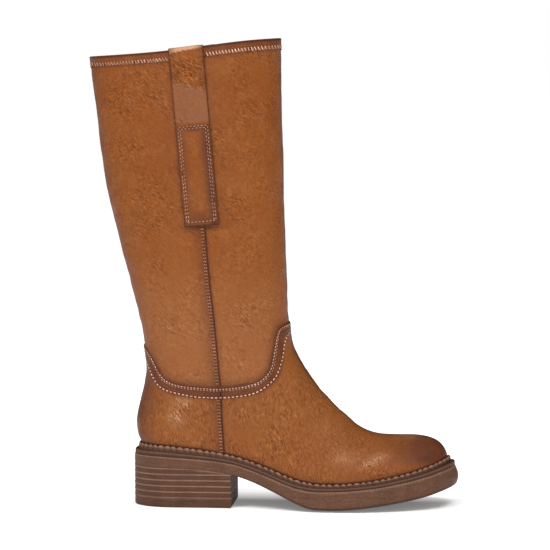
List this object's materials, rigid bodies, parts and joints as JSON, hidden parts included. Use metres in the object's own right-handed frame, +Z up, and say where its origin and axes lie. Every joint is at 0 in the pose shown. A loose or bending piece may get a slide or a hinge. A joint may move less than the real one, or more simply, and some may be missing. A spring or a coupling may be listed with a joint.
{
  "type": "motorcycle boot",
  "caption": "Tall pull-on leather boot with a round toe, welted rubber sole, stacked block heel and a pull strap at the collar.",
  "frame": {"origin": "middle of the heel's resting face, on the floor", "axes": "+X from heel to toe, +Y to the inner side of the foot, +Z up"},
  "size_m": [0.3051, 0.0977, 0.3849],
  "materials": {
    "tan_leather": "burnished, satin, fine pebbled grain",
    "brown_rubber": "matt moulded rubber",
    "stacked_heel": "matt, moulded as stacked layers",
    "insole_board": "plain undyed sock leather",
    "lining": "woven textile lining",
    "thread": "waxed sewing thread"
  },
  "bodies": {
    "root": {"upper": "tan_leather", "shaft": "tan_leather", "outsole": "brown_rubber", "welt": "brown_rubber", "heel": "stacked_heel", "heel_lift": "stacked_heel", "insole": "insole_board", "pull_strap_outer": "tan_leather", "pull_strap_inner": "tan_leather"}
  },
  "joints": []
}
